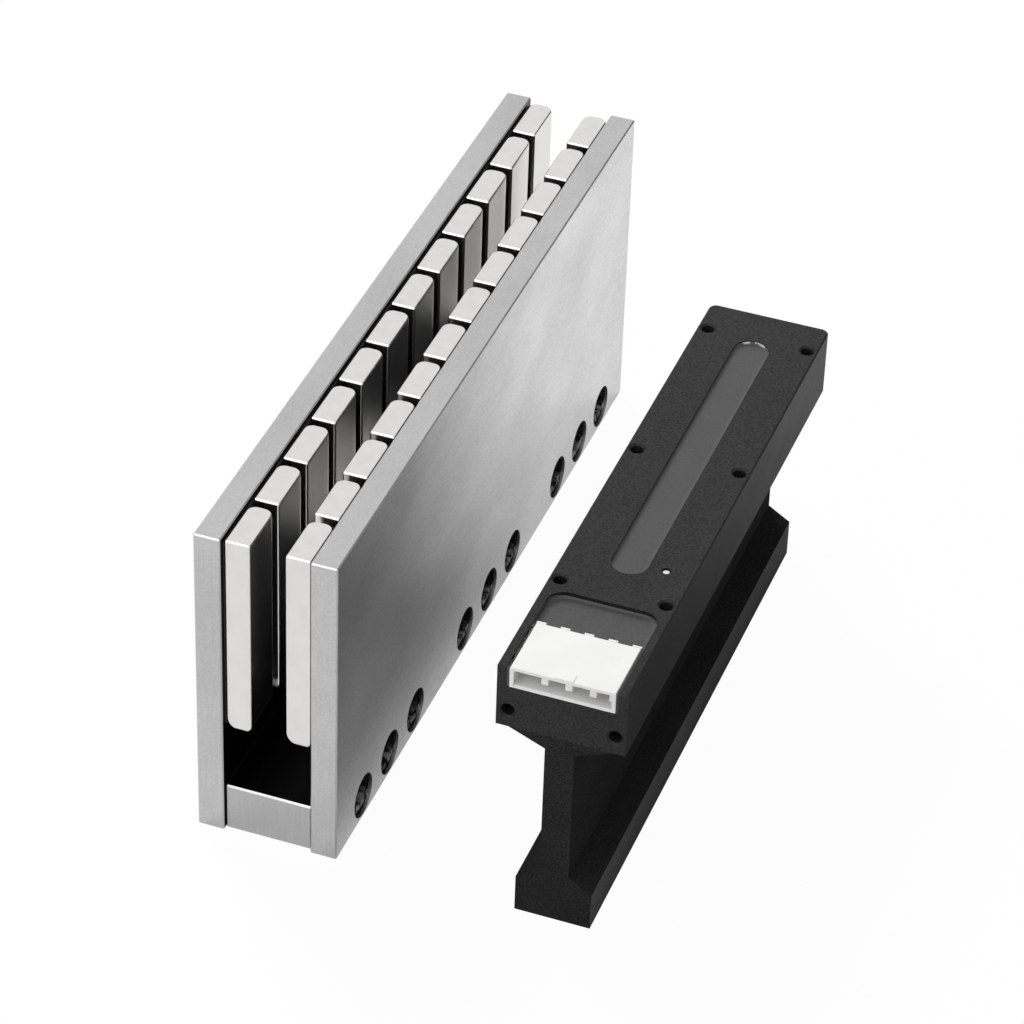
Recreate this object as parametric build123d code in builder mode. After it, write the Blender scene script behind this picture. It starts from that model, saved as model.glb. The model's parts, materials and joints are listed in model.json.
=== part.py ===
"""Linear motor in two parts: a U-shaped magnet track and the ironless coil unit that runs in such a track.

Millimetres. The origin is at the middle of the track's underside, +Y runs along the track and +Z is up.
The coil unit (the forcer) stands beside the track on the same surface, its front end level with the track's.
"""

import os

from build123d import *

os.makedirs("parts", exist_ok=True)

# Track layout
pole_pitch = 16.0
pole_count = 12
track_height = 81.0
air_gap = 8.0
track_length = pole_count * pole_pitch

# Magnets and the adhesive that holds them to the side plates
magnet_thickness = 6.0
magnet_height = 51.3
magnet_spacing = 1.6
magnet_top_inset = 0.8
magnet_corner_radius = 1.8
magnet_rim_bevel = 0.5
bond_thickness = 0.3
bond_margin = 0.8

# Side plates and the spacer bar between them
plate_thickness = 6.2
plate_edge_break = 0.3
bar_height = 12.4
bar_setback = 1.0
bar_edge_break = 0.4
channel_width = air_gap + 2 * (magnet_thickness + bond_thickness)
track_width = channel_width + 2 * plate_thickness
magnet_length = pole_pitch - magnet_spacing
magnet_bottom = track_height - magnet_top_inset - magnet_height

# Clamp screws: groups of three, one pole pitch apart, one group to every four poles
poles_per_group = 4
screws_per_group = 3
screw_line_height = 6.0
screw_thread = 6.0
screw_thread_play = 0.05
screw_clearance_hole = 6.6
screw_head_diameter = 10.0
screw_head_height = 4.0
screw_head_bevel = 0.4
screw_socket_across_flats = 5.0
screw_socket_depth = 2.2
screw_grip_in_bar = 8.6
counterbore_diameter = 10.6
counterbore_depth = 4.6

# Tapped holes in the underside, for fastening the track down
base_tap_diameter = 4.2
base_tap_depth = 9.0
base_tap_inner_spacing = 4 * pole_pitch
base_tap_end_margin = 8.0
base_tap_outer_spacing = track_length - 2 * base_tap_end_margin

# Forcer outline
forcer_poles = 9
forcer_offset = 67.0
forcer_height = 67.0
head_width = 29.0
head_height = 16.2
head_corner_radius = 1.8
head_edge_break = 0.35
flare_width = 23.2
flare_drop = 3.5
web_thickness = 6.6
foot_width = 17.4
foot_side = 9.4
foot_slope = 3.4
forcer_length = forcer_poles * pole_pitch
forcer_front = -track_length / 2
head_bottom = forcer_height - head_height

# Coil pocket in the underside of the head, and the casting's tongue that fills it
pocket_half_width = 8.7
pocket_end_wall = 2.2
bond_gap = 0.1
tongue_cover = 0.4
board_thickness = 1.0
board_end_gap = 12.0
board_air = 0.6

# Windings: overlapped coils, one leg to every third of a pole pitch
coils_per_phase = 4
leg_gap = 0.4
winding_thickness = 4.4
lane_gap = 0.6
turn_height = 3.4
turn_radius = 1.6
turn_spacing = 0.5
foot_floor = 1.5
upper_turn_start = 0.3
leg_pitch = pole_pitch / 3
leg_width = leg_pitch - leg_gap
lane_inner = winding_thickness / 2 + lane_gap
lane_outer = lane_inner + winding_thickness
lower_turn = foot_floor + turn_height + turn_spacing
upper_turn = head_bottom + upper_turn_start
winding_top = upper_turn + 2 * turn_height + turn_spacing
tongue_width = 2 * (pocket_half_width - bond_gap)
tongue_top = winding_top + tongue_cover
pocket_top = tongue_top + board_thickness + board_air

# Top of the head: tapped holes, potting slot, pin
top_hole_spacing_x = 24.0
top_hole_first = 32.0
top_hole_pitch = 51.0
top_hole_rows = 3
tapped_hole = 3.0
tapped_hole_depth = 6.0
tapped_hole_countersink = 3.9
tapped_hole_countersink_angle = 90.0
front_hole_height = 55.0
slot_width = 8.4
slot_start = 39.0
slot_end = 133.0
slot_recess = 0.9
pin_diameter = 1.4
pin_length = 4.0
pin_recess = 0.35
pin_play = 0.02
pin_well_diameter = 2.1
pin_x = 8.2
pin_y = 43.2

# Connector pocket, open at the front of the head
socket_pocket_side_wall = 2.1
socket_pocket_length = 28.2
socket_pocket_depth = 5.4
socket_pocket_radius = 4.0
fill_recess = 1.4

# Connector housing
housing_play = 0.65
housing_length = 16.5
housing_height = 5.1
housing_side_wall = 0.9
housing_top_wall = 0.6
housing_floor = 0.6
housing_lead_in = 0.4
housing_back_wall = 3.8
housing_edge_break = 0.2
contact_pitch = 5.35
contact_count = 4
contact_width = 1.0
contact_front_inset = 4.5
rib_width = 1.5
rib_drop = 1.9
rib_length = 9.0
rib_setback = 0.3
rib_shift = 1.3
lock_width = 4.4
lock_length = 2.4
lock_height = 0.12
lock_setback = 0.3
tab_width = 2.1
tab_length = 0.45
tab_height = 1.6

# Leads from the terminal board up to the contacts
lead_diameter = 1.0
lead_bend = 1.4
duct_length = 4.0
duct_from_back = 3.2
sensor_diameter = 2.6
sensor_length = 4.0


def save(piece, name):
    """Labels a finished piece and writes its file."""
    piece.part.label = name
    export_step(piece.part, f"parts/{name}.step")


# Positions shared by the plates, the bar and the screws
group_count = pole_count // poles_per_group
screw_ys = [
    ((group + 0.5) * poles_per_group + step - (screws_per_group - 1) / 2) * pole_pitch - track_length / 2
    for group in range(group_count)
    for step in range(screws_per_group)
]
screw_points = [(y, screw_line_height) for y in screw_ys]
outer_face = Plane.YZ.offset(track_width / 2)
screw_seat = Plane.YZ.offset(track_width / 2 - counterbore_depth)

# Side plates, ground steel
with BuildPart() as side_plate_right:
    with BuildSketch(outer_face):
        with Locations((0, track_height / 2)):
            Rectangle(track_length, track_height)
    extrude(amount=-plate_thickness)
    chamfer(side_plate_right.edges(), plate_edge_break)
    with Locations(outer_face):
        with Locations(*screw_points):
            CounterBoreHole(screw_clearance_hole / 2, counterbore_diameter / 2, counterbore_depth)
save(side_plate_right, "side_plate_right")

with BuildPart() as side_plate_left:
    mirror(side_plate_right.part, about=Plane.YZ)
save(side_plate_left, "side_plate_left")

# Spacer bar that joins the plates at the bottom
bar_length = track_length - 2 * bar_setback
with BuildPart() as spacer_bar:
    with BuildSketch(Plane.XY):
        Rectangle(channel_width, bar_length)
    extrude(amount=bar_height)
    chamfer(spacer_bar.edges(), bar_edge_break)
    with Locations(Plane.YZ.offset(channel_width / 2)):
        with Locations(*screw_points):
            Hole(screw_thread / 2)
    with Locations(Plane.XY.rotated((180, 0, 0))):
        with GridLocations(0, base_tap_inner_spacing, 1, 2):
            Hole(base_tap_diameter / 2, depth=base_tap_depth)
        with GridLocations(0, base_tap_outer_spacing, 1, 2):
            Hole(base_tap_diameter / 2, depth=base_tap_depth)
save(spacer_bar, "spacer_bar")

# Socket-head screws that clamp each plate to the bar
with BuildPart() as clamp_screws_right:
    with BuildSketch(screw_seat):
        with Locations(*screw_points):
            Circle(screw_head_diameter / 2)
    extrude(amount=screw_head_height)
    chamfer(clamp_screws_right.edges().group_by(Axis.X)[-1], screw_head_bevel)
    with BuildSketch(screw_seat.offset(screw_head_height)):
        with Locations(*screw_points):
            RegularPolygon(screw_socket_across_flats / 2, 6, major_radius=False)
    extrude(amount=-screw_socket_depth, mode=Mode.SUBTRACT)
    with BuildSketch(screw_seat):
        with Locations(*screw_points):
            Circle(screw_thread / 2 - screw_thread_play)
    extrude(amount=-(plate_thickness - counterbore_depth + screw_grip_in_bar))
save(clamp_screws_right, "clamp_screws_right")

with BuildPart() as clamp_screws_left:
    mirror(clamp_screws_right.part, about=Plane.YZ)
save(clamp_screws_left, "clamp_screws_left")

# Magnets, one solid each, and the adhesive bed behind each row
row_middle = air_gap / 2 + magnet_thickness / 2
bed_middle = air_gap / 2 + magnet_thickness + bond_thickness / 2
for side_name, side in (("left", -1), ("right", 1)):
    for index in range(pole_count):
        magnet_y = (index + 0.5) * pole_pitch - track_length / 2
        with BuildPart() as magnet:
            with BuildSketch(Plane((side * row_middle, magnet_y, magnet_bottom))):
                Rectangle(magnet_thickness, magnet_length)
            extrude(amount=magnet_height)
            fillet(magnet.edges().filter_by(Axis.Z), magnet_corner_radius)
            chamfer(magnet.faces().filter_by(Axis.Z).edges(), magnet_rim_bevel)
        save(magnet, f"magnet_{side_name}_{index + 1:02d}")
    with BuildPart() as magnet_bond:
        with BuildSketch(Plane((side * bed_middle, 0, magnet_bottom + bond_margin))):
            Rectangle(bond_thickness, track_length - magnet_spacing - 2 * bond_margin)
        extrude(amount=magnet_height - 2 * bond_margin)
    save(magnet_bond, f"magnet_bond_{side_name}")

# Windings of the three phases. Phases U and V bend out to either side at their ends, and W stays in the
# middle and turns beyond them, so that the legs of all three lie in one flat layer in the web.
forcer_axis = Plane((forcer_offset, forcer_front, 0), x_dir=(1, 0, 0), z_dir=(0, -1, 0))
legs_in_row = 6 * coils_per_phase + 2
first_leg = (forcer_length - legs_in_row * leg_pitch) / 2


def leg_start(slot):
    """Distance of a leg's front side from the front of the forcer."""
    return first_leg + slot * leg_pitch + leg_gap / 2


with BuildPart() as winding_u:
    for coil in range(coils_per_phase):
        near = leg_start(6 * coil)
        with BuildSketch(forcer_axis.offset(-near)):
            with BuildLine():
                Polyline(
                    (-winding_thickness / 2, lower_turn),
                    (lane_outer, lower_turn),
                    (lane_outer, lower_turn + turn_height),
                    (winding_thickness / 2, lower_turn + turn_height),
                    (winding_thickness / 2, upper_turn),
                    (lane_outer, upper_turn),
                    (lane_outer, upper_turn + turn_height),
                    (-winding_thickness / 2, upper_turn + turn_height),
                    close=True,
                )
            make_face()
        extrude(amount=-(3 * leg_pitch + leg_width))
        with BuildSketch(forcer_axis.offset(-near - leg_width)):
            with Locations((0, forcer_height / 2)):
                Rectangle(2 * lane_inner, forcer_height)
        extrude(amount=-(3 * leg_pitch - leg_width), mode=Mode.SUBTRACT)
    side_edges = winding_u.edges().filter_by(Axis.Z).group_by(Axis.X)[-1]
    fillet(side_edges, turn_radius)
save(winding_u, "winding_u")

# Phase V is phase U turned over to the other side and moved on by two legs
with BuildPart() as winding_v:
    turned = mirror(winding_u.part, about=Plane.YZ.offset(forcer_offset), mode=Mode.PRIVATE)
    add(turned.moved(Location((0, 2 * leg_pitch, 0))))
save(winding_v, "winding_v")

with BuildPart() as winding_w:
    middle_plane = Plane((forcer_offset, forcer_front, 0), x_dir=(0, 1, 0), z_dir=(1, 0, 0))
    coil_height = winding_top - foot_floor
    coil_span = 3 * leg_pitch + leg_width
    with BuildSketch(middle_plane):
        for coil in range(coils_per_phase):
            coil_middle = leg_start(6 * coil + 4) + coil_span / 2
            with Locations((coil_middle, foot_floor + coil_height / 2)):
                RectangleRounded(coil_span, coil_height, turn_radius)
                Rectangle(coil_span - 2 * leg_width, coil_height - 2 * turn_height, mode=Mode.SUBTRACT)
    extrude(amount=winding_thickness / 2, both=True)
save(winding_w, "winding_w")

# Temperature sensor, in the free space beside a leg of phase W
with BuildPart() as temperature_sensor:
    sensor_y = leg_start(4.5) + (leg_width - sensor_length) / 2
    sensor_x = (lane_inner + lane_outer) / 2
    sensor_z = upper_turn + turn_height / 2
    with BuildSketch(forcer_axis.offset(-sensor_y)):
        with Locations((sensor_x, sensor_z)):
            Circle(sensor_diameter / 2)
    extrude(amount=-sensor_length)
save(temperature_sensor, "temperature_sensor")

# Epoxy casting around the windings: foot, thin web, flare and the tongue in the head
with BuildPart() as coil_casting:
    with BuildSketch(forcer_axis):
        with BuildLine():
            half = Polyline(
                (0, 0),
                (foot_width / 2, 0),
                (foot_width / 2, foot_side),
                (web_thickness / 2, foot_side + foot_slope),
                (web_thickness / 2, head_bottom - flare_drop),
                (flare_width / 2, head_bottom),
                (0, head_bottom),
            )
            mirror(half, about=Plane.YZ)
        make_face()
    extrude(amount=-forcer_length)
    tongue_length = forcer_length - 2 * (pocket_end_wall + bond_gap)
    with BuildSketch(Plane((forcer_offset, forcer_front + forcer_length / 2, head_bottom))):
        Rectangle(tongue_width, tongue_length)
    extrude(amount=tongue_top - head_bottom)
    for winding in (winding_u, winding_v, winding_w, temperature_sensor):
        add(winding.part, mode=Mode.SUBTRACT)
save(coil_casting, "coil_casting")

# Terminal board that joins the coil ends, on top of the tongue
with BuildPart() as terminal_board:
    with BuildSketch(Plane((forcer_offset, forcer_front + forcer_length / 2, tongue_top))):
        Rectangle(tongue_width, forcer_length - 2 * board_end_gap)
    extrude(amount=board_thickness)
save(terminal_board, "terminal_board")

# Head bar, black anodised aluminium
head_middle = Plane((forcer_offset, forcer_front + forcer_length / 2, head_bottom))
head_top = Plane((forcer_offset, forcer_front, forcer_height))
socket_pocket_width = head_width - 2 * socket_pocket_side_wall
socket_floor = forcer_height - socket_pocket_depth
duct_y = socket_pocket_length - duct_from_back - duct_length / 2
top_hole_points = [
    (side * top_hole_spacing_x / 2, top_hole_first + row * top_hole_pitch)
    for row in range(top_hole_rows)
    for side in (-1, 1)
]
with BuildPart() as head_bar:
    with BuildSketch(head_middle):
        Rectangle(head_width, forcer_length)
    extrude(amount=head_height)
    fillet(head_bar.edges().filter_by(Axis.Z).group_by(Axis.Y)[-1], head_corner_radius)
    chamfer(head_bar.faces().sort_by(Axis.Z)[-1].edges(), head_edge_break)
    with BuildSketch(head_middle):
        Rectangle(2 * pocket_half_width, forcer_length - 2 * pocket_end_wall)
    extrude(amount=pocket_top - head_bottom, mode=Mode.SUBTRACT)
    with BuildSketch(head_top):
        with Locations((0, (slot_start + slot_end) / 2)):
            SlotOverall(slot_end - slot_start, slot_width, rotation=90)
    extrude(amount=-(forcer_height - pocket_top), mode=Mode.SUBTRACT)
    with BuildSketch(head_top) as socket_outline:
        with Locations((0, socket_pocket_length / 2)):
            Rectangle(socket_pocket_width, socket_pocket_length)
        fillet(socket_outline.vertices().group_by(Axis.Y)[-1], socket_pocket_radius)
    extrude(amount=-socket_pocket_depth, mode=Mode.SUBTRACT)
    with BuildSketch(head_top):
        with Locations((0, duct_y)):
            Rectangle(2 * pocket_half_width, duct_length)
    extrude(amount=-(forcer_height - pocket_top), mode=Mode.SUBTRACT)
    with Locations(head_top):
        with Locations(*top_hole_points):
            CounterSinkHole(
                tapped_hole / 2, tapped_hole_countersink / 2, tapped_hole_depth, tapped_hole_countersink_angle
            )
        with Locations((pin_x, pin_y)):
            CounterBoreHole(
                pin_diameter / 2 + pin_play, pin_well_diameter / 2, pin_recess + pin_play, pin_length + pin_recess
            )
    with Locations(forcer_axis):
        with Locations((0, front_hole_height)):
            with GridLocations(top_hole_spacing_x, 0, 2, 1):
                CounterSinkHole(
                    tapped_hole / 2, tapped_hole_countersink / 2, tapped_hole_depth, tapped_hole_countersink_angle
                )
save(head_bar, "head_bar")

# Metal pin in the top of the head, beside the slot
with BuildPart() as earth_pin:
    with BuildSketch(head_top.offset(-pin_recess)):
        with Locations((pin_x, pin_y)):
            Circle(pin_diameter / 2)
    extrude(amount=-pin_length)
save(earth_pin, "earth_pin")

# Connector housing, open at the front
housing_width = socket_pocket_width - 2 * housing_play
housing_top = socket_floor + housing_height
cavity_height = housing_height - housing_top_wall - housing_floor
cavity_length = housing_length - housing_back_wall
contact_height = socket_floor + housing_floor + (cavity_height - rib_drop) / 2
contact_xs = [(index - (contact_count - 1) / 2) * contact_pitch for index in range(contact_count)]
divider_xs = [(index - contact_count / 2) * contact_pitch for index in range(contact_count + 1)]
key_rib_x = housing_width / 2 - rib_width / 2
rib_xs = [divider_x + rib_shift for divider_x in divider_xs[1:-1]] + [key_rib_x]
with BuildPart() as connector_housing:
    with BuildSketch(forcer_axis):
        with Locations((0, socket_floor + housing_height / 2)):
            Rectangle(housing_width, housing_height)
    extrude(amount=-housing_length)
    chamfer(connector_housing.faces().sort_by(Axis.Z)[-1].edges(), housing_edge_break)
    with BuildSketch(forcer_axis):
        with Locations((0, socket_floor + housing_floor + cavity_height / 2)):
            Rectangle(housing_width - 2 * housing_side_wall, cavity_height)
    extrude(amount=-cavity_length, mode=Mode.SUBTRACT)
    lead_in_edge = connector_housing.edges().filter_by(Axis.X).group_by(Axis.Y)[0].sort_by(Axis.Z)[1]
    chamfer(lead_in_edge, housing_lead_in)
    with BuildSketch(forcer_axis.offset(-rib_setback)):
        for rib_x in rib_xs:
            with Locations((rib_x, housing_top - housing_top_wall - rib_drop / 2)):
                Rectangle(rib_width, rib_drop)
    extrude(amount=-rib_length)
    with BuildSketch(forcer_axis.offset(-housing_length)):
        for divider_x in divider_xs:
            with Locations((divider_x, housing_top - tab_height / 2)):
                Rectangle(tab_width, tab_height)
    extrude(amount=-tab_length)
    with BuildSketch(head_top.offset(housing_top - forcer_height)):
        with Locations((0, lock_setback + lock_length / 2)):
            Rectangle(lock_width, lock_length)
    extrude(amount=lock_height)
    with BuildSketch(forcer_axis.offset(-housing_length)):
        for contact_x in contact_xs:
            with Locations((contact_x, contact_height)):
                Rectangle(contact_width, contact_width)
    extrude(amount=housing_back_wall, mode=Mode.SUBTRACT)
save(connector_housing, "connector_housing")

# Contacts, square pins through the back wall of the housing
with BuildPart() as connector_contacts:
    with BuildSketch(forcer_axis.offset(-contact_front_inset)):
        for contact_x in contact_xs:
            with Locations((contact_x, contact_height)):
                Rectangle(contact_width, contact_width)
    extrude(amount=-(housing_length - contact_front_inset))
save(connector_contacts, "connector_contacts")

# Leads, from the board up through the duct and forward to the contacts
with BuildPart() as lead_wires:
    for contact_x in contact_xs:
        board_end = (forcer_offset + contact_x, forcer_front + duct_y, tongue_top + board_thickness)
        bend_point = (board_end[0], board_end[1], contact_height)
        contact_end = (board_end[0], forcer_front + housing_length, contact_height)
        with BuildLine() as route:
            FilletPolyline(board_end, bend_point, contact_end, radius=lead_bend)
        with BuildSketch(Plane(board_end)):
            Circle(lead_diameter / 2)
        sweep(path=route.wires()[0])
save(lead_wires, "lead_wires")

# Epoxy that fills the connector pocket behind the housing
with BuildPart() as pocket_potting:
    fill_height = socket_pocket_depth - fill_recess
    fill_length = socket_pocket_length - housing_length
    with BuildSketch(head_top.offset(-socket_pocket_depth)) as fill_outline:
        with Locations((0, housing_length + fill_length / 2)):
            Rectangle(socket_pocket_width, fill_length)
        fillet(fill_outline.vertices().group_by(Axis.Y)[-1], socket_pocket_radius)
    extrude(amount=fill_height)
    add(connector_housing.part, mode=Mode.SUBTRACT)
    add(lead_wires.part, mode=Mode.SUBTRACT)
save(pocket_potting, "pocket_potting")

# Epoxy that fills the slot over the terminal board
with BuildPart() as slot_potting:
    with BuildSketch(head_top.offset(-slot_recess)):
        with Locations((0, (slot_start + slot_end) / 2)):
            SlotOverall(slot_end - slot_start, slot_width, rotation=90)
    extrude(amount=-(forcer_height - slot_recess - tongue_top - board_thickness))
save(slot_potting, "slot_potting")
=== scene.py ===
"""Looks for the linear motor: a steel magnet track with a black coil unit beside it, on a white floor.

The frame is in metres: the origin is the middle of the track's underside, +Y runs along the track, +Z is up.
The finishes and the level cards measure in millimetres.
"""

import json
import math

import bpy
from mathutils import Matrix, Vector
from mathutils import noise as mathutils_noise


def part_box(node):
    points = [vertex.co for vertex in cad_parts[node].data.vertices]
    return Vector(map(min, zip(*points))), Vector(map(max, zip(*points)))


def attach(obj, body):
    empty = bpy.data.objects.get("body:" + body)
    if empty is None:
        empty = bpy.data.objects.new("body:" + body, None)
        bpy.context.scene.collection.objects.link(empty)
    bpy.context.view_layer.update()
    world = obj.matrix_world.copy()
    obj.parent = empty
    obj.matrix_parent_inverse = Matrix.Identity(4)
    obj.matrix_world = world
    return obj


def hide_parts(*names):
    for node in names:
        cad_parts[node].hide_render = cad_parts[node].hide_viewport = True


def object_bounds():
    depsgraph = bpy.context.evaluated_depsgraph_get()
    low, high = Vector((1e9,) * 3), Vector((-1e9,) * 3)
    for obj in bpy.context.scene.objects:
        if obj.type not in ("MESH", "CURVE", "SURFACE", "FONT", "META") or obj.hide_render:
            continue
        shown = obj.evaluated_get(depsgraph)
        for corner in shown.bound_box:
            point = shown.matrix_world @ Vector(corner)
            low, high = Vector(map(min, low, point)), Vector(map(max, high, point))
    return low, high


MM = 0.001

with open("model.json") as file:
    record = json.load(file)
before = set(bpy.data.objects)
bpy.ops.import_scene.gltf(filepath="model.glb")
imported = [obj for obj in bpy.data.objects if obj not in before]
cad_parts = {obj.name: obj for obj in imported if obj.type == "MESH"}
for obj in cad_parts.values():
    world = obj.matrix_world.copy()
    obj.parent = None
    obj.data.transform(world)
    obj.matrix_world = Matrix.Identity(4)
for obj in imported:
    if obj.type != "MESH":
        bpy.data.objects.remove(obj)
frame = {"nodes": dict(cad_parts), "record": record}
nodes = frame["nodes"]
cad_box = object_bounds()


# Node helpers for the materials

def node(tree, kind, inputs=(), **settings):
    """Adds a node, sets its properties, and fills its inputs with values or links them to sockets."""
    made = tree.nodes.new(kind)
    for key, value in settings.items():
        setattr(made, key, value)
    for key, value in dict(inputs).items():
        if isinstance(value, bpy.types.NodeSocket):
            tree.links.new(value, made.inputs[key])
        else:
            made.inputs[key].default_value = value
    return made


def millimetres(tree, stretch=(1, 1, 1)):
    """The surface's place in millimetres, with each axis multiplied by its stretch."""
    place = node(tree, "ShaderNodeTexCoord").outputs["Object"]
    scale = [factor / MM for factor in stretch]
    return node(tree, "ShaderNodeMapping", {"Vector": place, "Scale": scale}).outputs["Vector"]


def axis_of(tree, vector, axis):
    """The X, Y or Z of a vector."""
    return node(tree, "ShaderNodeSeparateXYZ", {"Vector": vector}).outputs[axis]


def calculated(tree, operation, first, second=0.0):
    """The result of an operation on two numbers, or on the first one alone."""
    return node(tree, "ShaderNodeMath", {0: first, 1: second}, operation=operation).outputs["Value"]


def noise(tree, stretch, detail=3.0, roughness=0.5):
    """Noise from 0 to 1 over the surface. The stretch says how many cells a millimetre of each axis has."""
    return node(
        tree, "ShaderNodeTexNoise",
        {"Vector": millimetres(tree, stretch), "Scale": 1.0, "Detail": detail, "Roughness": roughness},
    ).outputs["Fac"]


def spread(tree, value, low, high, from_low=0.3, from_high=0.7):
    """Maps a value evenly onto the range low to high. Noise lies mostly between 0.3 and 0.7."""
    return node(
        tree, "ShaderNodeMapRange",
        {"Value": value, "From Min": from_low, "From Max": from_high, "To Min": low, "To Max": high},
    ).outputs["Result"]


def eased(tree, value, clear_at, full_at):
    """Goes softly from 0, where the value is clear_at, to 1, where it is full_at."""
    return node(
        tree, "ShaderNodeMapRange", {"Value": value, "From Min": clear_at, "From Max": full_at},
        interpolation_type="SMOOTHSTEP",
    ).outputs["Result"]


def blended(tree, factor, first, second):
    """A number that goes from first to second with the factor."""
    return node(
        tree, "ShaderNodeMix", {"Factor": factor, "A": first, "B": second}, data_type="FLOAT"
    ).outputs["Result"]


def tinted(tree, factor, first, second):
    """A colour that goes from first to second with the factor. Each is a socket, or red, green and blue."""
    ends = [end if isinstance(end, bpy.types.NodeSocket) else (*end, 1) for end in (first, second)]
    mix = node(tree, "ShaderNodeMix", {"Factor": factor, 6: ends[0], 7: ends[1]}, data_type="RGBA")
    return mix.outputs[2]


def grey(level):
    """A colour with as much red and green as blue."""
    return (level, level, level)


def bumped(tree, height, depth):
    """A bump whose full height is the given depth in millimetres."""
    return node(
        tree, "ShaderNodeBump", {"Height": height, "Distance": depth * MM, "Strength": 1.0}
    ).outputs["Normal"]


def finish_material(name, **sockets):
    """Makes a material and returns it with its tree and shader. Values go on the shader's own sockets."""
    material = bpy.data.materials.new(name)
    material.use_nodes = True
    shader = material.node_tree.nodes["Principled BSDF"]
    for key, value in sockets.items():
        shader.inputs[key.replace("_", " ")].default_value = value
    return material, material.node_tree, shader


def connect(tree, shader, **sockets):
    """Links sockets to the shader's inputs."""
    for key, value in sockets.items():
        tree.links.new(value, shader.inputs[key.replace("_", " ")])


# Masks: 1 where a finish changes or painted shade lies, 0 elsewhere

# Limits for the part of a face's normal that lies along an axis
square_on = 0.9
slightly_back = 0.1
well_back = 0.4
leaning_up = 0.4
facing_up = 0.3


def facing(tree, axis):
    """1 on faces that look along an axis, either way."""
    normal = node(tree, "ShaderNodeNewGeometry").outputs["True Normal"]
    size = calculated(tree, "ABSOLUTE", axis_of(tree, normal, axis))
    return calculated(tree, "GREATER_THAN", size, square_on)


def channel_shade_mask(tree, half_width, floor_height):
    """1 on the surfaces that line the channel, where shade is painted: between the plates and above the bar.
    """
    place = millimetres(tree)
    across = calculated(tree, "ABSOLUTE", axis_of(tree, place, "X"))
    inside = calculated(tree, "LESS_THAN", across, half_width)
    above = calculated(tree, "GREATER_THAN", axis_of(tree, place, "Z"), floor_height)
    return calculated(tree, "MULTIPLY", inside, above)


def gap_shade_mask(tree, row_end):
    """1 on upright faces that look back into the gap behind a magnet, where shade is painted. There is none
    past row_end.
    """
    normal = node(tree, "ShaderNodeNewGeometry").outputs["True Normal"]
    back = eased(tree, axis_of(tree, normal, "Y"), slightly_back, well_back)
    upright = calculated(tree, "LESS_THAN", axis_of(tree, normal, "Z"), leaning_up)
    inside = calculated(tree, "LESS_THAN", axis_of(tree, millimetres(tree), "Y"), row_end)
    return calculated(tree, "MULTIPLY", back, calculated(tree, "MULTIPLY", upright, inside))


# Materials

# The black of the epoxy; also the painted shade in the channel and in the magnets' gaps.
epoxy_and_shade_black = grey(0.012)

# How far a mask's limit stands off the edge it belongs to, in millimetres
edge_play = 0.05

# The painted highlight low on a screw head, in millimetres below the head's axis, and its share on the left
# side
head_glint_start = 1.0
head_glint_full = 1.7
head_glint_fading = 2.9
head_glint_end = 3.9
left_side_glint = 0.12
facet_glint_share = 0.25

# The painted highlight on the slot's rim, in millimetres: before the slot's far end, and below and above the
# rim's start
slot_glint_start = 1.5
slot_glint_full = 0.9
slot_glint_below = 0.2
slot_glint_above = 0.05


def ground_steel(name, dark, light, rough, lines=5.0, depth=0.004, shaded_channel=None, top_and_end_shade=1.0):
    """Steel ground lengthways on its sides and top, and upwards on its ends.

    The channel may get painted shade, black. The top and the ends may get painted shade, darkened by a tone.
    """
    material, tree, shader = finish_material(name, Metallic=1.0)
    lengthways = noise(tree, (lines, 0.22, lines), detail=4)
    upwards = noise(tree, (lines * 0.5, lines * 0.5, 0.10), detail=3)
    grain = blended(tree, facing(tree, "Y"), lengthways, upwards)
    cloud = noise(tree, (0.05, 0.03, 0.05), detail=4)
    fine = noise(tree, (2.4, 2.4, 2.4), detail=3)
    mixed = blended(tree, 0.35, blended(tree, 0.65, grain, fine), cloud)
    colour = tinted(tree, spread(tree, mixed, 0, 1, 0.36, 0.64), dark, light)
    # Painted shade: the top and the ends, the faces that don't look along X, are darkened by this tone.
    if top_and_end_shade != 1.0:
        dark_shaded = [top_and_end_shade * value for value in dark]
        light_shaded = [top_and_end_shade * value for value in light]
        shaded_top_and_ends = tinted(tree, spread(tree, mixed, 0, 1), dark_shaded, light_shaded)
        colour = tinted(tree, facing(tree, "X"), shaded_top_and_ends, colour)
    # Painted shade: the channel between the plates and above the bar turns black.
    if shaded_channel:
        colour = tinted(tree, channel_shade_mask(tree, *shaded_channel), colour, epoxy_and_shade_black)
    connect(
        tree, shader,
        Base_Color=colour,
        Roughness=spread(tree, mixed, rough + 0.05, rough - 0.05),
        Normal=bumped(tree, blended(tree, 0.5, grain, fine), depth),
    )
    return material


def nickel(name, row_end):
    """Bright nickel plate with the faint waviness of a sintered block, and painted shade in the gaps: black,
    not metal.
    """
    material, tree, shader = finish_material(name)
    waves = noise(tree, (0.35, 0.35, 0.16), detail=2)
    specks = noise(tree, (3.5, 3.5, 3.5), detail=3)
    # Painted shade: the faces that look back into the gaps turn black and stop being metal.
    gap = gap_shade_mask(tree, row_end)
    plating = tinted(tree, spread(tree, waves, 0, 1), (0.69, 0.685, 0.675), (0.73, 0.725, 0.715))
    connect(
        tree, shader,
        Base_Color=tinted(tree, gap, plating, epoxy_and_shade_black),
        Metallic=calculated(tree, "SUBTRACT", 1.0, gap),
        Roughness=spread(tree, specks, 0.17, 0.26),
        Normal=bumped(tree, blended(tree, 0.25, waves, specks), 0.004),
    )
    return material


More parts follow.
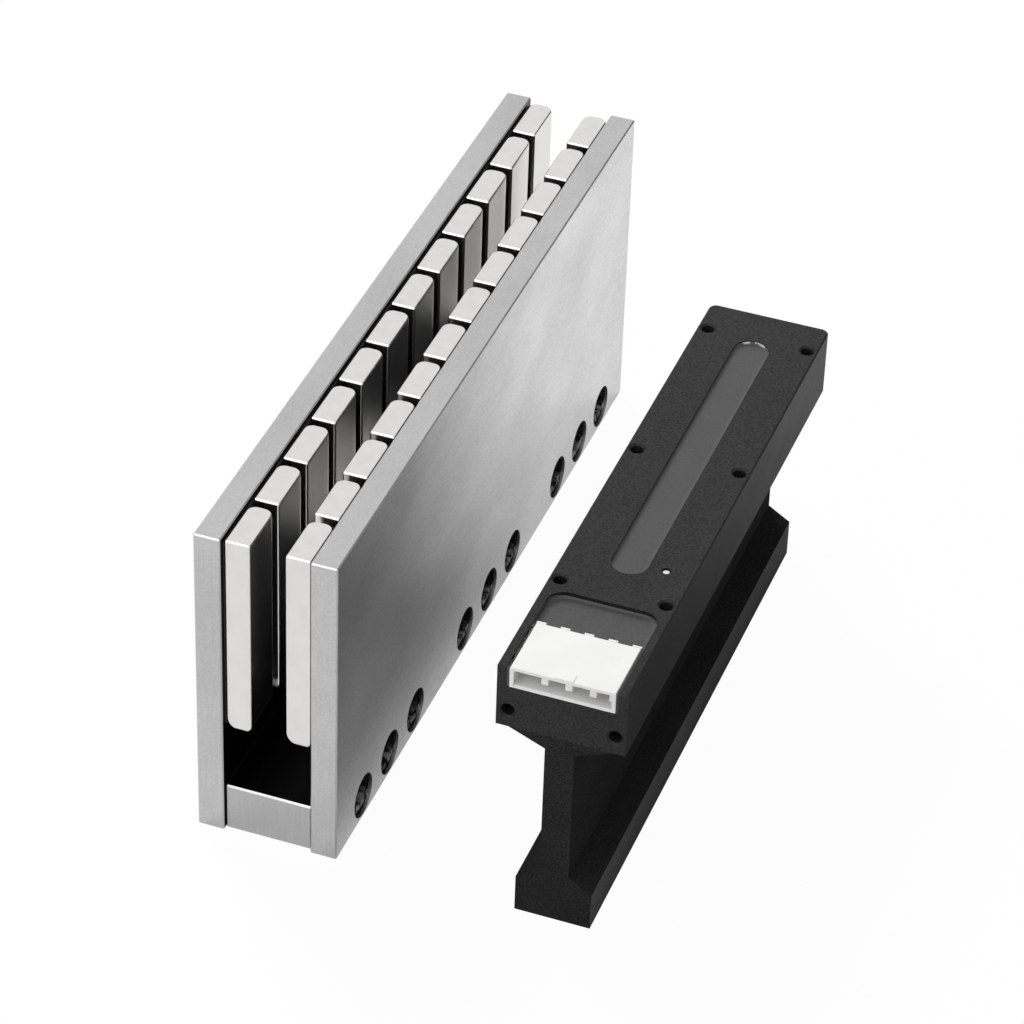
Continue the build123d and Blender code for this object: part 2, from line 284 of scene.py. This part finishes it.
def dark_coat(name, dark, light, rough, grain=5.0, specular=0.5):
    """Matte black finish with a fine even grain and faint clouding."""
    material, tree, shader = finish_material(name, Specular_IOR_Level=specular)
    beads = noise(tree, (grain, grain, grain), detail=2)
    cloud = noise(tree, (0.06, 0.04, 0.06), detail=4)
    connect(
        tree, shader,
        Base_Color=tinted(tree, spread(tree, blended(tree, 0.25, beads, cloud), 0, 1), dark, light),
        Roughness=spread(tree, cloud, rough - 0.05, rough + 0.05),
        Normal=bumped(tree, beads, 0.006),
    )
    return material


def cast_epoxy(name, foot_side_top):
    """The coil casting: matte black, with painted sheen on the sides of its foot, which are paler."""
    material, tree, shader = finish_material(name, Specular_IOR_Level=0.0)
    beads = noise(tree, (2.8, 2.8, 2.8), detail=2)
    cloud = noise(tree, (0.06, 0.04, 0.06), detail=4)
    grain = spread(tree, blended(tree, 0.25, beads, cloud), 0, 1)
    height = axis_of(tree, millimetres(tree), "Z")
    low = calculated(tree, "LESS_THAN", height, foot_side_top + edge_play)
    # Painted sheen: the sides of the foot are paler than the rest.
    painted_sheen = calculated(tree, "MULTIPLY", low, facing(tree, "X"))
    matte = tinted(tree, grain, epoxy_and_shade_black, grey(0.044))
    paler = tinted(tree, grain, grey(0.085), grey(0.165))
    connect(
        tree, shader,
        Base_Color=tinted(tree, painted_sheen, matte, paler),
        Roughness=spread(tree, cloud, 0.55, 0.65),
        Normal=bumped(tree, beads, 0.006),
    )
    return material


def painted_socket_glints(tree, colour, head_face, axis_height):
    """Painted highlights: lightens the facets that face up in the sockets, and a patch low on each head,
    least on the left.
    """
    place = millimetres(tree)
    side = axis_of(tree, place, "X")
    height = axis_of(tree, place, "Z")
    normal = node(tree, "ShaderNodeNewGeometry").outputs["True Normal"]
    sunk = calculated(tree, "LESS_THAN", calculated(tree, "ABSOLUTE", side), head_face - edge_play)
    upward = calculated(tree, "GREATER_THAN", axis_of(tree, normal, "Z"), facing_up)
    facets = calculated(tree, "MULTIPLY", calculated(tree, "MULTIPLY", sunk, upward), facet_glint_share)
    sets_in = eased(tree, height, axis_height - head_glint_start, axis_height - head_glint_full)
    fades_out = eased(tree, height, axis_height - head_glint_end, axis_height - head_glint_fading)
    low_on_head = calculated(tree, "MULTIPLY", sets_in, fades_out)
    patches = spread(tree, noise(tree, (0.4, 1.3, 0.45), detail=3), 0, 1, 0.40, 0.62)
    painted_glints = calculated(tree, "MULTIPLY", calculated(tree, "MAXIMUM", facets, low_on_head), patches)
    by_side = spread(tree, side, left_side_glint, 1.0, -1.0, 1.0)
    # Painted highlights: the glint patches turn near white.
    return tinted(tree, calculated(tree, "MULTIPLY", painted_glints, by_side), colour, (0.78, 0.78, 0.77))


def black_oxide(name, head_face, axis_height):
    """Blackened screw steel, with painted highlights in the sockets and low on the heads."""
    material, tree, shader = finish_material(name, Specular_IOR_Level=0.0)
    beads = noise(tree, (3.0, 3.0, 3.0), detail=3)
    black = tinted(tree, spread(tree, beads, 0, 1), grey(0.010), grey(0.030))
    connect(
        tree, shader,
        Base_Color=painted_socket_glints(tree, black, head_face, axis_height),
        Roughness=spread(tree, beads, 0.5, 0.62),
        Normal=bumped(tree, beads, 0.02),
    )
    return material


def potting(name, rim_from, rim_to, slot_far_end):
    """Filled epoxy, cast level: grey, slightly uneven and finely specked.

    It is paler where it thins out up a wall. At the slot's far end, patches of the rim get a painted
    highlight, near white.
    """
    material, tree, shader = finish_material(name, Specular_IOR_Level=0.36)
    specks = noise(tree, (2.6, 2.6, 2.6), detail=5, roughness=0.7)
    slow = noise(tree, (0.25, 0.12, 0.25), detail=2)
    place = millimetres(tree)
    height = axis_of(tree, place, "Z")
    along = axis_of(tree, place, "Y")
    thin = spread(tree, height, 0, 0.6, rim_from, rim_to)
    filled = tinted(tree, spread(tree, specks, 0, 1), grey(0.044), grey(0.078))
    paler = tinted(tree, thin, filled, grey(0.17))
    # Painted highlight: near-white patches high on the rim at the slot's far end.
    wall = spread(tree, height, 0, 1, rim_from - slot_glint_below, rim_from + slot_glint_above)
    far = spread(tree, along, 0, 1, slot_far_end - slot_glint_start, slot_far_end - slot_glint_full)
    patches = spread(tree, noise(tree, (0.9, 0.9, 0.9), detail=1), 0, 1, 0.42, 0.56)
    painted_rim_glint = calculated(tree, "MULTIPLY", calculated(tree, "MULTIPLY", wall, far), patches)
    connect(
        tree, shader,
        Base_Color=tinted(tree, painted_rim_glint, paler, grey(0.9)),
        Roughness=spread(tree, slow, 0.38, 0.5),
        Normal=bumped(tree, blended(tree, 0.15, slow, specks), 0.05),
    )
    return material


def moulded(name, dark, light, rough, grain=4.0):
    """Moulded or coated plastic with a fine texture."""
    material, tree, shader = finish_material(name)
    texture = noise(tree, (grain, grain, grain), detail=2)
    cloud = noise(tree, (0.12, 0.12, 0.12), detail=2)
    connect(
        tree, shader,
        Base_Color=tinted(tree, spread(tree, cloud, 0, 1), dark, light),
        Roughness=spread(tree, texture, rough - 0.06, rough + 0.06),
        Normal=bumped(tree, texture, 0.004),
    )
    return material


def wound_wire(name):
    """Layers of enamelled wire, lying along the coil's legs."""
    material, tree, shader = finish_material(name, Metallic=1.0, Roughness=0.32)
    strands = node(
        tree, "ShaderNodeTexWave", {"Vector": millimetres(tree, (0, 1, 0)), "Scale": 1.4, "Distortion": 0.4},
        bands_direction="Y",
    ).outputs["Fac"]
    connect(
        tree, shader,
        Base_Color=tinted(tree, strands, (0.30, 0.11, 0.045), (0.72, 0.34, 0.17)),
        Normal=bumped(tree, strands, 0.1),
    )
    return material


# Where the finishes, the painted shade and the painted highlights change, in millimetres

# How far the channel's painted shade reaches past its edges
channel_shade_margin = 0.02
foot_side_top = 9.4
last_corners_depth = 4.0
rim_depth = 0.55
rim_pale_depth = 0.1
channel_half_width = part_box("spacer_bar")[1].x / MM
bar_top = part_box("spacer_bar")[1].z / MM
head_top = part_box("head_bar")[1].z / MM
screw_low, screw_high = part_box("clamp_screws_right")
screw_face = screw_high.x / MM
screw_axis_height = (screw_low.z + screw_high.z) / 2 / MM
magnet_row_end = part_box("magnet_left_12")[1].y / MM - last_corners_depth
slot_far_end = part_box("slot_potting")[1].y / MM

looks = {
    "ground_steel": ground_steel(
        "steel_plate", grey(0.54), (0.78, 0.78, 0.775), 0.34,
        shaded_channel=(channel_half_width + channel_shade_margin, 0), top_and_end_shade=0.76,
    ),
    "bar_steel": ground_steel(
        "steel_bar", grey(0.40), (0.50, 0.50, 0.495), 0.40, lines=3.0,
        shaded_channel=(channel_half_width, bar_top - channel_shade_margin),
    ),
    "magnet_nickel": nickel("nickel", magnet_row_end),
    "bond_epoxy": dark_coat("bond", epoxy_and_shade_black, grey(0.022), 0.5),
    "screw_steel": black_oxide("black_oxide", screw_face, screw_axis_height),
    "anodised_aluminium": dark_coat("anodised", grey(0.0), grey(0.032), 0.5, grain=2.2, specular=0.2),
    "casting_epoxy": cast_epoxy("cast_epoxy", foot_side_top),
    "enamelled_copper": wound_wire("copper_wire"),
    "sensor_glass": moulded("glass_bead", (0.08, 0.04, 0.02), (0.12, 0.06, 0.03), 0.2),
    "board_laminate": moulded("laminate", (0.05, 0.13, 0.05), (0.08, 0.18, 0.08), 0.45, grain=2.0),
    "lead_insulation": moulded("lead_sleeve", (0.74, 0.74, 0.72), (0.82, 0.82, 0.80), 0.3),
    "bright_pin": ground_steel(
        "plated_pin", (0.72, 0.72, 0.70), (0.84, 0.84, 0.82), 0.22, lines=8.0, depth=0.002
    ),
    "white_nylon": moulded("white_plastic", (0.84, 0.84, 0.83), (0.88, 0.88, 0.87), 0.4),
    "tinned_brass": ground_steel(
        "tinned", (0.60, 0.58, 0.50), (0.74, 0.72, 0.66), 0.3, lines=8.0, depth=0.002
    ),
    "potting_epoxy": potting("potting", head_top - rim_depth, head_top - rim_pale_depth, slot_far_end),
}
slot_of = {part["node"]: part["material_slot"] for part in frame["record"]["subparts"]}
for name, cad_object in nodes.items():
    cad_object.data.materials.clear()
    cad_object.data.materials.append(looks[slot_of[name]])


# Pieces built up from rings: each ring is the outline, inset by a distance, at a height

piece_body = {
    name: body for body, members in frame["record"]["behaviour"]["bodies"].items() for name in members
}
weld_distance = 0.002 * MM


def mesh_object(name, vertices, faces):
    """A new object in the scene, made of the vertices and faces."""
    mesh = bpy.data.meshes.new(name)
    mesh.from_pydata(vertices, [], faces)
    mesh.validate()
    made = bpy.data.objects.new(name, mesh)
    bpy.context.scene.collection.objects.link(made)
    return made


def rounded_outline(low, high, front_radius, back_radius, inset, steps):
    """Points round a rectangle with rounded corners, drawn in by inset. The front is its low-y side."""
    points = []
    corners = (
        (high.x, low.y, -1, 1, front_radius, -90),
        (high.x, high.y, -1, -1, back_radius, 0),
        (low.x, high.y, 1, -1, back_radius, 90),
        (low.x, low.y, 1, 1, front_radius, 180),
    )
    for x, y, inward_x, inward_y, radius, start in corners:
        reach = max(radius, inset)
        turn = max(radius - inset, 0)
        centre_x = x + inward_x * reach
        centre_y = y + inward_y * reach
        for step in range(steps + 1):
            angle = math.radians(start + 90 * step / steps)
            points.append((centre_x + turn * math.cos(angle), centre_y + turn * math.sin(angle)))
    return points


def ringed_piece(name, low, high, rings, front_radius, back_radius, steps):
    """A closed mesh through the rings, given as (inset, height) from the bottom up."""
    vertices = []
    faces = []
    for inset, height in rings:
        outline = rounded_outline(low, high, front_radius, back_radius, inset, steps)
        vertices += [(x, y, height) for x, y in outline]
    count = 4 * (steps + 1)
    for ring in range(len(rings) - 1):
        below = ring * count
        above = below + count
        for index in range(count):
            following = (index + 1) % count
            faces.append((below + index, below + following, above + following, above + index))
    faces.append(tuple(reversed(range(count))))
    faces.append(tuple(range((len(rings) - 1) * count, len(rings) * count)))
    piece = mesh_object(name, vertices, faces)
    piece.data.shade_smooth()
    weld = piece.modifiers.new("Weld", "WELD")
    weld.merge_threshold = weld_distance
    normals = piece.modifiers.new("Normals", "WEIGHTED_NORMAL")
    normals.keep_sharp = True
    return piece


def stands_for(piece, node_name):
    """The piece is shown in place of a CAD node: same body, same finish."""
    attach(piece, piece_body[node_name])
    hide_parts(node_name)
    piece.data.materials.append(looks[slot_of[node_name]])


# Magnets: blocks with round far corners, nearly sharp near ones, a rounded rim and a rounded foot

magnet_far_radius = 2.2 * MM
magnet_near_radius = 0.5 * MM
magnet_near_inset = 0.5 * MM
magnet_corner_steps = 6
magnet_rim_radius = 0.7 * MM
magnet_rim_steps = 6
magnet_foot_radius = 1.6 * MM
magnet_foot_left_radius = 2.8 * MM
magnet_foot_front_share = 0.2
magnet_foot_steps = 10


def quarter_turn(steps):
    """The angles of a quarter turn in even steps."""
    return [math.radians(90 * step / steps) for step in range(steps + 1)]


def set_back(radius, height):
    """How far a rounded bottom edge stands back at a height above the foot."""
    rise = min(max(height / radius, 0.0), 1.0)
    return radius * (1 - math.sqrt(1 - (1 - rise) ** 2))


def drawn_in(value, low, high, at_low, at_high):
    """Maps a value between low and high onto the span drawn in at both ends."""
    share = (value - low) / (high - low)
    return low + at_low + share * (high - low - at_low - at_high)


def magnet_block(name):
    """The block that stands for a magnet. Its foot is rounded least in front and most on its left."""
    low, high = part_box(name)
    low.y += magnet_near_inset
    rings = [
        (0, low.z + magnet_foot_left_radius * (1 - math.cos(angle)))
        for angle in quarter_turn(magnet_foot_steps)
    ]
    rings += [
        (magnet_rim_radius * (1 - math.cos(angle)), high.z - magnet_rim_radius * (1 - math.sin(angle)))
        for angle in quarter_turn(magnet_rim_steps)
    ]
    piece = ringed_piece(
        name + "_block", low, high, rings, magnet_near_radius, magnet_far_radius, magnet_corner_steps
    )
    for vertex in piece.data.vertices:
        height = vertex.co.z - low.z
        foot = set_back(magnet_foot_radius, height)
        left = set_back(magnet_foot_left_radius, height)
        vertex.co.x = drawn_in(vertex.co.x, low.x, high.x, left, foot)
        vertex.co.y = drawn_in(vertex.co.y, low.y, high.y, magnet_foot_front_share * foot, foot)
    stands_for(piece, name)


for name in nodes:
    if name.startswith("magnet_") and "bond" not in name:
        magnet_block(name)


# Potting fills: the surface creeps up the walls round it

creep_width = 1.4 * MM
creep_steps = 8


def potting_fill(
    name, node_name, near_radius, far_radius, creep_height, far_creep_height, steps, level_width=0.0
):
    """A fill for a pocket, in place of its CAD node.

    It creeps up the walls by creep_height, and by another height round its far end. It stays level over
    level_width from its near end.
    """
    low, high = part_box(node_name)
    rings = [(0, low.z)]
    for step in range(creep_steps + 1):
        share = step / creep_steps
        rings.append((creep_width * share ** 1.5, high.z + creep_height * (1 - share) ** 2.5))
    fill = ringed_piece(name, low, high, rings, near_radius, far_radius, steps)
    for vertex in fill.data.vertices:
        nearness = max(0.0, (vertex.co.y - (high.y - far_radius)) / far_radius)
        lift = max(0.0, vertex.co.z - high.z) / creep_height
        vertex.co.z += lift * nearness ** 2 * (far_creep_height - creep_height)
        if vertex.co.y < low.y + level_width:
            vertex.co.z = min(vertex.co.z, high.z)
    stands_for(fill, node_name)


slot_low, slot_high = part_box("slot_potting")
slot_radius = (slot_high.x - slot_low.x) / 2
potting_fill(
    "slot_fill", "slot_potting", near_radius=slot_radius, far_radius=slot_radius,
    creep_height=0.6 * MM, far_creep_height=0.8 * MM, steps=16,
)
potting_fill(
    "pocket_fill", "pocket_potting", near_radius=0.05 * MM, far_radius=4.0 * MM,
    creep_height=1.2 * MM, far_creep_height=0.6 * MM, steps=12, level_width=0.04 * MM,
)


# Epoxy that has crept forward into the gaps beside the connector housing

bead_segments = 60
bead_top_steps = 5
bead_lump = 0.9 * MM
bead_fine_lump = 0.4 * MM
bead_level_lump = 0.2
bead_play = 0.03 * MM
bead_front_setback = 0.1 * MM
bead_top_setback = 0.1 * MM
bead_overlap = 0.05 * MM


def seal_bead(name, low, high, roughness, slot):
    """A bead of epoxy along y between low and high, with an uneven top."""
    vertices = []
    faces = []
    for segment in range(bead_segments + 1):
        y = low.y + (high.y - low.y) * segment / bead_segments
        vertices += [(low.x, y, low.z), (high.x, y, low.z)]
        for index in range(bead_top_steps + 1):
            x = high.x + (low.x - high.x) * index / bead_top_steps
            place = Vector((x, y, 0))
            lump = mathutils_noise.noise(place / bead_lump) + mathutils_noise.noise(place / bead_fine_lump)
            vertices.append((x, y, high.z + roughness * min(0.0, lump - bead_level_lump)))
    count = bead_top_steps + 3
    for segment in range(bead_segments):
        near = segment * count
        far = near + count
        for index in range(count):
            following = (index + 1) % count
            faces.append((near + index, far + index, far + following, near + following))
    faces.append(tuple(range(count)))
    faces.append(tuple(reversed(range(bead_segments * count, (bead_segments + 1) * count))))
    bead = mesh_object(name, vertices, faces)
    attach(bead, "forcer")
    bead.data.materials.append(looks[slot])


housing_low, housing_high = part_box("connector_housing")
pocket_low, pocket_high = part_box("pocket_potting")
bead_front = housing_low.y + bead_front_setback
bead_top = housing_high.z - bead_top_setback
bead_back = pocket_low.y + bead_overlap
for name, low_x, high_x, roughness, slot in (
    ("seal_bead_left", pocket_low.x, housing_low.x, 0.7 * MM, "potting_epoxy"),
    ("seal_bead_right", housing_high.x, pocket_high.x, 0.1 * MM, "bond_epoxy"),
):
    seal_bead(
        name,
        Vector((low_x + bead_play, bead_front, pocket_low.z + bead_play)),
        Vector((high_x - bead_play, bead_back, bead_top)),
        roughness,
        slot,
    )


# Floor and light

white = (*grey(1.0), 1)
floor_colour = (*grey(0.93), 1)
card_colour = (*grey(0.03), 1)
floor_size = 12.0

# In millimetres: the floor lies below the object, and a card below it or above the bar
floor_drop = 0.03
card_drop = 0.015
card_lift = 0.1

# How much of the floor's look is plain white, for the camera and in mirror images
floor_whiteness = 0.965
mirrored_whiteness = 0.6


def mirror_rays(tree, rays):
    """1 for rays that come from metal or glass."""
    return calculated(tree, "MAXIMUM", rays.outputs["Is Glossy Ray"], rays.outputs["Is Transmission Ray"])


def empty_tree(owner):
    """The owner's node tree, with nothing in it."""
    owner.use_nodes = True
    owner.node_tree.nodes.clear()
    return owner.node_tree


def white_floor():
    """A white floor that keeps the shadows and reaches far past the view."""
    bpy.ops.mesh.primitive_plane_add(size=floor_size, location=(0, 0, -floor_drop * MM))
    floor = bpy.context.object
    floor.name = "floor"
    material = bpy.data.materials.new("floor_white")
    tree = empty_tree(material)
    diffuse = node(tree, "ShaderNodeBsdfDiffuse", {"Color": floor_colour})
    glow = node(tree, "ShaderNodeEmission", {"Color": white, "Strength": 1.0})
    rays = node(tree, "ShaderNodeLightPath")
    seen = calculated(tree, "MULTIPLY", rays.outputs["Is Camera Ray"], floor_whiteness)
    mirrored = calculated(tree, "MULTIPLY", mirror_rays(tree, rays), mirrored_whiteness)
    mixed = node(
        tree, "ShaderNodeMixShader",
        {"Fac": calculated(tree, "ADD", mirrored, seen), 1: diffuse.outputs[0], 2: glow.outputs[0]},
    )
    node(tree, "ShaderNodeOutputMaterial", {"Surface": mixed.outputs[0]})
    floor.data.materials.append(material)


def soft_world(light):
    """Even light all round. The camera, metal and glass see plain white."""
    world = bpy.data.worlds.new("studio")
    bpy.context.scene.world = world
    tree = empty_tree(world)
    rays = node(tree, "ShaderNodeLightPath")
    seen = calculated(tree, "MAXIMUM", rays.outputs["Is Camera Ray"], mirror_rays(tree, rays))
    strength = spread(tree, seen, light, 1.0, 0.0, 1.0)
    background = node(tree, "ShaderNodeBackground", {"Color": white, "Strength": strength})
    node(tree, "ShaderNodeOutputWorld", {"Surface": background.outputs[0]})


def softbox(name, place, target, width, height, power, mirrored=True):
    """A rectangular lamp at place, turned towards target. It may be left out of mirror images."""
    lamp = bpy.data.lights.new(name, "AREA")
    lamp.shape = "RECTANGLE"
    lamp.size = width
    lamp.size_y = height
    lamp.energy = power
    box = bpy.data.objects.new(name, lamp)
    box.location = place
    box.rotation_euler = (Vector(target) - Vector(place)).to_track_quat("-Z", "Y").to_euler()
    box.visible_glossy = mirrored
    bpy.context.scene.collection.objects.link(box)


def flat_card(name, low, high, height=0.0):
    """A level rectangle that only mirror images show."""
    corners = [(low[0], low[1]), (high[0], low[1]), (high[0], high[1]), (low[0], high[1])]
    card = mesh_object(name, [(x, y, height) for x, y in corners], [(0, 1, 2, 3)])
    card.visible_camera = False
    card.visible_diffuse = False
    card.visible_shadow = False
    return card


def dark_card(name, place, target, width, height):
    """A dark grey card turned towards target that only mirror images show: a painted dark reflection."""
    card = flat_card(name, (-width / 2, -height / 2), (width / 2, height / 2))
    card.location = place
    card.rotation_euler = (Vector(target) - Vector(place)).to_track_quat("Z", "Y").to_euler()
    card.data.materials.append(finish_material(name, Base_Color=card_colour, Roughness=1.0)[0])


def level_card(name, low, high, height, strength, fades):
    """A level sheet for a soft patch of dark or light in the mirror images.

    fades lists an axis, and the places along it where the sheet is still clear and where it is full.
    """
    card = flat_card(name, [value * MM for value in low], [value * MM for value in high], height * MM)
    material = bpy.data.materials.new(name)
    tree = empty_tree(material)
    place = millimetres(tree)
    share = 1.0
    for axis, clear_at, full_at in fades:
        fade = eased(tree, axis_of(tree, place, axis), clear_at, full_at)
        share = calculated(tree, "MULTIPLY", share, fade)
    clear = node(tree, "ShaderNodeBsdfTransparent")
    sheet = node(tree, "ShaderNodeEmission", {"Color": white, "Strength": strength})
    mixed = node(tree, "ShaderNodeMixShader", {"Fac": share, 1: clear.outputs[0], 2: sheet.outputs[0]})
    node(tree, "ShaderNodeOutputMaterial", {"Surface": mixed.outputs[0]})
    card.data.materials.append(material)


white_floor()
soft_world(light=0.2)
middle = (cad_box[0] + cad_box[1]) / 2
softbox(
    "key", middle + Vector((-0.85, 0.75, 1.0)), middle, width=0.5, height=0.5, power=21.5, mirrored=False
)
softbox("front", middle + Vector((-0.3, -0.85, 0.95)), middle, width=1.3, height=1.5, power=9.0)
dark_card("right_card", middle + Vector((0.85, 1.05, 0.22)), middle, width=1.0, height=0.7)
# Level sheets that only mirror images show: painted dark reflections in the track's right face and the
# forcer's right side, and a glowing sheet above the bar for a painted light reflection in the magnets' inner
# faces.
level_card(
    "between_card", low=(10, -100), high=(58, 90), height=-card_drop, strength=0.18,
    fades=(("X", 10, 30), ("Y", 54, -14)),
)
level_card(
    "right_floor_card", low=(72, -100), high=(200, 160), height=-card_drop, strength=0.08,
    fades=(("X", 72, 78), ("Y", 140, 0)),
)
level_card(
    "channel_card", low=(-channel_half_width, -10), high=(channel_half_width, 56),
    height=bar_top + card_lift, strength=1.0, fades=(("Y", -8, 12), ("Y", 54, 30)),
)


# Camera: fitted to the corners of the track in the photograph

camera_place = Vector((280.539, -754.520, 634.345)) * MM
camera_azimuth = math.radians(18.945)
camera_elevation = math.radians(37.129)
camera_roll = math.radians(2.067)
photo_width = 1024
focal_pixels = 4303.1

camera_data = bpy.data.cameras.new("camera")
camera_data.sensor_width = 36.0
camera_data.lens = focal_pixels * camera_data.sensor_width / photo_width
camera_data.clip_start = 0.05
camera = bpy.data.objects.new("camera", camera_data)
forward = Vector((
    -math.sin(camera_azimuth) * math.cos(camera_elevation),
    math.cos(camera_azimuth) * math.cos(camera_elevation),
    -math.sin(camera_elevation),
))
level_right = forward.cross(Vector((0, 0, 1))).normalized()
level_up = level_right.cross(forward)
right = math.cos(camera_roll) * level_right + math.sin(camera_roll) * level_up
up = -math.sin(camera_roll) * level_right + math.cos(camera_roll) * level_up
turned = Matrix((right, up, -forward)).transposed().to_4x4()
camera.matrix_world = Matrix.Translation(camera_place) @ turned
bpy.context.scene.collection.objects.link(camera)
bpy.context.scene.camera = camera

bpy.context.scene.view_settings.view_transform = "Standard"
